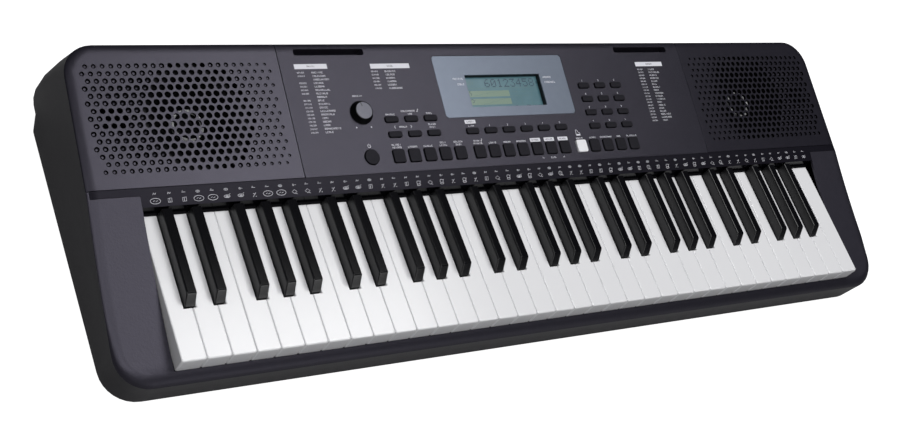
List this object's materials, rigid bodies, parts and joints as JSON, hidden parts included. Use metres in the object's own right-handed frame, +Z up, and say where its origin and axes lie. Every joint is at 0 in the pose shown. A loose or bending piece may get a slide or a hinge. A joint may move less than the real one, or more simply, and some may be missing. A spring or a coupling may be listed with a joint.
{
  "type": "portable keyboard",
  "caption": "Portable electronic keyboard: piano keys on rear hinges, sloping panel with display, buttons, volume knob and speakers at both ends.",
  "frame": {"origin": "on the table under the middle of the case", "axes": "+X along the keys from bass to treble, +Y from the player to the rear, +Z up"},
  "size_m": [0.9484, 0.3098, 0.1046],
  "materials": {
    "case_grey": "fine-textured violet-grey plastic",
    "case_black": "satin black plastic",
    "strip_black": "printed dark plastic strip with a glossy front lip",
    "display_blue_grey": "blue-grey metallic paint on plastic",
    "lcd_green": "grey-green liquid crystal glass",
    "key_white": "glossy white plastic",
    "key_black": "glossy black plastic",
    "rubber_black": "matt black button rubber",
    "rubber_white": "matt white button rubber",
    "rubber_grey": "grey contact rubber",
    "knob_black": "satin black plastic",
    "frame_grey": "grey inner plastic",
    "board_green": "green lacquered circuit board",
    "speaker_black": "black loudspeaker frame and paper cone",
    "metal": "plain steel"
  },
  "bodies": {
    "case": {"lower_case": "case_black", "upper_case": "case_grey", "left_speaker_cover": "case_grey", "right_speaker_cover": "case_grey", "key_strip": "strip_black", "display_panel": "display_blue_grey", "lcd_module": "knob_black", "lcd_glass": "lcd_green", "panel_board": "board_green", "volume_pot": "metal", "key_frame": "frame_grey", "contact_board": "board_green", "contact_rubber": "rubber_grey", "left_speaker": "speaker_black", "right_speaker": "speaker_black", "main_board": "board_green", "dc_inlet": "knob_black", "sustain_jack": "knob_black", "headphone_jack": "knob_black", "usb_socket": "knob_black", "battery_box": "frame_grey", "front_left_foot": "rubber_black", "rear_left_foot": "rubber_black", "front_right_foot": "rubber_black", "rear_right_foot": "rubber_black"},
    "battery_cover": {"battery_cover": "case_black"},
    "volume_knob": {"volume_knob": "knob_black"},
    "power_button": {"power_button": "rubber_black"},
    "mixer_buttons": {"mixer_button_bank": "rubber_black"},
    "style_buttons": {"style_button_bank": "rubber_black"},
    "memory_buttons": {"memory_button_bank": "rubber_black"},
    "voice_buttons": {"voice_button_bank": "rubber_black"},
    "piano_button": {"piano_button": "rubber_white"},
    "function_buttons": {"function_button_bank": "rubber_black"},
    "number_pad": {"number_pad": "rubber_black"},
    "octave_1_cegb": {"octave_1_white_comb_cegb": "key_white"},
    "octave_1_dfa": {"octave_1_white_comb_dfa": "key_white"},
    "octave_1_black": {"octave_1_black_comb": "key_black"},
    "octave_2_cegb": {"octave_2_white_comb_cegb": "key_white"},
    "octave_2_dfa": {"octave_2_white_comb_dfa": "key_white"},
    "octave_2_black": {"octave_2_black_comb": "key_black"},
    "octave_3_c": {"octave_3_key_c": "key_white"},
    "octave_3_c_sharp": {"octave_3_key_c_sharp": "key_black"},
    "octave_3_d": {"octave_3_key_d": "key_white"},
    "octave_3_d_sharp": {"octave_3_key_d_sharp": "key_black"},
    "octave_3_e": {"octave_3_key_e": "key_white"},
    "octave_3_f": {"octave_3_key_f": "key_white"},
    "octave_3_f_sharp": {"octave_3_key_f_sharp": "key_black"},
    "octave_3_g": {"octave_3_key_g": "key_white"},
    "octave_3_g_sharp": {"octave_3_key_g_sharp": "key_black"},
    "octave_3_a": {"octave_3_key_a": "key_white"},
    "octave_3_a_sharp": {"octave_3_key_a_sharp": "key_black"},
    "octave_3_b": {"octave_3_key_b": "key_white"},
    "octave_4_cegb": {"octave_4_white_comb_cegb": "key_white"},
    "octave_4_dfa": {"octave_4_white_comb_dfa": "key_white"},
    "octave_4_black": {"octave_4_black_comb": "key_black"},
    "octave_5_cegb": {"octave_5_white_comb_cegb": "key_white"},
    "octave_5_dfa": {"octave_5_white_comb_dfa": "key_white"},
    "octave_5_black": {"octave_5_black_comb": "key_black"},
    "top_c": {"top_key_c": "key_white"}
  },
  "joints": [
    {"name": "battery_cover_slide", "type": "slide", "parent": "case", "child": "battery_cover", "axis": [0, -1, 0], "range_m": [0, 0.014]},
    {"name": "volume_turn", "type": "hinge", "parent": "case", "child": "volume_knob", "pos_m": [-0.1824, 0.07769, 0.09254], "axis": [0, -0.1781, 0.984], "range_deg": [-145, 145]},
    {"name": "power_press", "type": "slide", "parent": "case", "child": "power_button", "axis": [0, 0.1781, -0.984], "range_m": [0, 0.0015], "stiffness_N_per_m": 300, "springref_m": -0.002},
    {"name": "mixer_press", "type": "slide", "parent": "case", "child": "mixer_buttons", "axis": [0, 0.1781, -0.984], "range_m": [0, 0.0015], "stiffness_N_per_m": 400, "springref_m": -0.002},
    {"name": "style_press", "type": "slide", "parent": "case", "child": "style_buttons", "axis": [0, 0.1781, -0.984], "range_m": [0, 0.0015], "stiffness_N_per_m": 400, "springref_m": -0.002},
    {"name": "memory_press", "type": "slide", "parent": "case", "child": "memory_buttons", "axis": [0, 0.1781, -0.984], "range_m": [0, 0.0015], "stiffness_N_per_m": 400, "springref_m": -0.002},
    {"name": "voice_press", "type": "slide", "parent": "case", "child": "voice_buttons", "axis": [0, 0.1781, -0.984], "range_m": [0, 0.0015], "stiffness_N_per_m": 400, "springref_m": -0.002},
    {"name": "piano_press", "type": "slide", "parent": "case", "child": "piano_button", "axis": [0, 0.1781, -0.984], "range_m": [0, 0.0015], "stiffness_N_per_m": 300, "springref_m": -0.002},
    {"name": "function_press", "type": "slide", "parent": "case", "child": "function_buttons", "axis": [0, 0.1781, -0.984], "range_m": [0, 0.0015], "stiffness_N_per_m": 400, "springref_m": -0.002},
    {"name": "number_pad_press", "type": "slide", "parent": "case", "child": "number_pad", "axis": [0, 0.1781, -0.984], "range_m": [0, 0.0015], "stiffness_N_per_m": 500, "springref_m": -0.002},
    {"name": "octave_1_cegb_dip", "type": "hinge", "parent": "case", "child": "octave_1_cegb", "pos_m": [-0.34, 0.0449, 0.0533], "axis": [1, 0, 0], "range_deg": [0, 3], "stiffness_Nm_per_rad": 2, "springref_deg": -20.05},
    {"name": "octave_1_dfa_dip", "type": "hinge", "parent": "case", "child": "octave_1_dfa", "pos_m": [-0.34, 0.0449, 0.0575], "axis": [1, 0, 0], "range_deg": [0, 3], "stiffness_Nm_per_rad": 1.5, "springref_deg": -20.05},
    {"name": "octave_1_black_dip", "type": "hinge", "parent": "case", "child": "octave_1_black", "pos_m": [-0.34, 0.0449, 0.0617], "axis": [1, 0, 0], "range_deg": [0, 3], "stiffness_Nm_per_rad": 2, "springref_deg": -20.05},
    {"name": "octave_2_cegb_dip", "type": "hinge", "parent": "case", "child": "octave_2_cegb", "pos_m": [-0.175, 0.0449, 0.0533], "axis": [1, 0, 0], "range_deg": [0, 3], "stiffness_Nm_per_rad": 2, "springref_deg": -20.05},
    {"name": "octave_2_dfa_dip", "type": "hinge", "parent": "case", "child": "octave_2_dfa", "pos_m": [-0.175, 0.0449, 0.0575], "axis": [1, 0, 0], "range_deg": [0, 3], "stiffness_Nm_per_rad": 1.5, "springref_deg": -20.05},
    {"name": "octave_2_black_dip", "type": "hinge", "parent": "case", "child": "octave_2_black", "pos_m": [-0.175, 0.0449, 0.0617], "axis": [1, 0, 0], "range_deg": [0, 3], "stiffness_Nm_per_rad": 2, "springref_deg": -20.05},
    {"name": "octave_3_c_dip", "type": "hinge", "parent": "case", "child": "octave_3_c", "pos_m": [-0.0862, 0.0449, 0.0533], "axis": [1, 0, 0], "range_deg": [0, 3], "stiffness_Nm_per_rad": 0.5, "springref_deg": -20.05},
    {"name": "octave_3_c_sharp_dip", "type": "hinge", "parent": "case", "child": "octave_3_c_sharp", "pos_m": [-0.0728, 0.0449, 0.0617], "axis": [1, 0, 0], "range_deg": [0, 3], "stiffness_Nm_per_rad": 0.5, "springref_deg": -20.05},
    {"name": "octave_3_d_dip", "type": "hinge", "parent": "case", "child": "octave_3_d", "pos_m": [-0.0587, 0.0449, 0.0533], "axis": [1, 0, 0], "range_deg": [0, 3], "stiffness_Nm_per_rad": 0.5, "springref_deg": -20.05},
    {"name": "octave_3_d_sharp_dip", "type": "hinge", "parent": "case", "child": "octave_3_d_sharp", "pos_m": [-0.0446, 0.0449, 0.0617], "axis": [1, 0, 0], "range_deg": [0, 3], "stiffness_Nm_per_rad": 0.5, "springref_deg": -20.05},
    {"name": "octave_3_e_dip", "type": "hinge", "parent": "case", "child": "octave_3_e", "pos_m": [-0.0312, 0.0449, 0.0533], "axis": [1, 0, 0], "range_deg": [0, 3], "stiffness_Nm_per_rad": 0.5, "springref_deg": -20.05},
    {"name": "octave_3_f_dip", "type": "hinge", "parent": "case", "child": "octave_3_f", "pos_m": [-0.0163, 0.0449, 0.0533], "axis": [1, 0, 0], "range_deg": [0, 3], "stiffness_Nm_per_rad": 0.5, "springref_deg": -20.05},
    {"name": "octave_3_f_sharp_dip", "type": "hinge", "parent": "case", "child": "octave_3_f_sharp", "pos_m": [-0.0034, 0.0449, 0.0617], "axis": [1, 0, 0], "range_deg": [0, 3], "stiffness_Nm_per_rad": 0.5, "springref_deg": -20.05},
    {"name": "octave_3_g_dip", "type": "hinge", "parent": "case", "child": "octave_3_g", "pos_m": [0.01, 0.0449, 0.0533], "axis": [1, 0, 0], "range_deg": [0, 3], "stiffness_Nm_per_rad": 0.5, "springref_deg": -20.05},
    {"name": "octave_3_g_sharp_dip", "type": "hinge", "parent": "case", "child": "octave_3_g_sharp", "pos_m": [0.0235, 0.0449, 0.0617], "axis": [1, 0, 0], "range_deg": [0, 3], "stiffness_Nm_per_rad": 0.5, "springref_deg": -20.05},
    {"name": "octave_3_a_dip", "type": "hinge", "parent": "case", "child": "octave_3_a", "pos_m": [0.0369, 0.0449, 0.0533], "axis": [1, 0, 0], "range_deg": [0, 3], "stiffness_Nm_per_rad": 0.5, "springref_deg": -20.05},
    {"name": "octave_3_a_sharp_dip", "type": "hinge", "parent": "case", "child": "octave_3_a_sharp", "pos_m": [0.0504, 0.0449, 0.0617], "axis": [1, 0, 0], "range_deg": [0, 3], "stiffness_Nm_per_rad": 0.5, "springref_deg": -20.05},
    {"name": "octave_3_b_dip", "type": "hinge", "parent": "case", "child": "octave_3_b", "pos_m": [0.0633, 0.0449, 0.0533], "axis": [1, 0, 0], "range_deg": [0, 3], "stiffness_Nm_per_rad": 0.5, "springref_deg": -20.05},
    {"name": "octave_4_cegb_dip", "type": "hinge", "parent": "case", "child": "octave_4_cegb", "pos_m": [0.154, 0.0449, 0.0533], "axis": [1, 0, 0], "range_deg": [0, 3], "stiffness_Nm_per_rad": 2, "springref_deg": -20.05},
    {"name": "octave_4_dfa_dip", "type": "hinge", "parent": "case", "child": "octave_4_dfa", "pos_m": [0.154, 0.0449, 0.0575], "axis": [1, 0, 0], "range_deg": [0, 3], "stiffness_Nm_per_rad": 1.5, "springref_deg": -20.05},
    {"name": "octave_4_black_dip", "type": "hinge", "parent": "case", "child": "octave_4_black", "pos_m": [0.154, 0.0449, 0.0617], "axis": [1, 0, 0], "range_deg": [0, 3], "stiffness_Nm_per_rad": 2, "springref_deg": -20.05},
    {"name": "octave_5_cegb_dip", "type": "hinge", "parent": "case", "child": "octave_5_cegb", "pos_m": [0.318, 0.0449, 0.0533], "axis": [1, 0, 0], "range_deg": [0, 3], "stiffness_Nm_per_rad": 2, "springref_deg": -20.05},
    {"name": "octave_5_dfa_dip", "type": "hinge", "parent": "case", "child": "octave_5_dfa", "pos_m": [0.318, 0.0449, 0.0575], "axis": [1, 0, 0], "range_deg": [0, 3], "stiffness_Nm_per_rad": 1.5, "springref_deg": -20.05},
    {"name": "octave_5_black_dip", "type": "hinge", "parent": "case", "child": "octave_5_black", "pos_m": [0.318, 0.0449, 0.0617], "axis": [1, 0, 0], "range_deg": [0, 3], "stiffness_Nm_per_rad": 2, "springref_deg": -20.05},
    {"name": "top_c_dip", "type": "hinge", "parent": "case", "child": "top_c", "pos_m": [0.4112, 0.0449, 0.0533], "axis": [1, 0, 0], "range_deg": [0, 3], "stiffness_Nm_per_rad": 0.5, "springref_deg": -20.05}
  ]
}
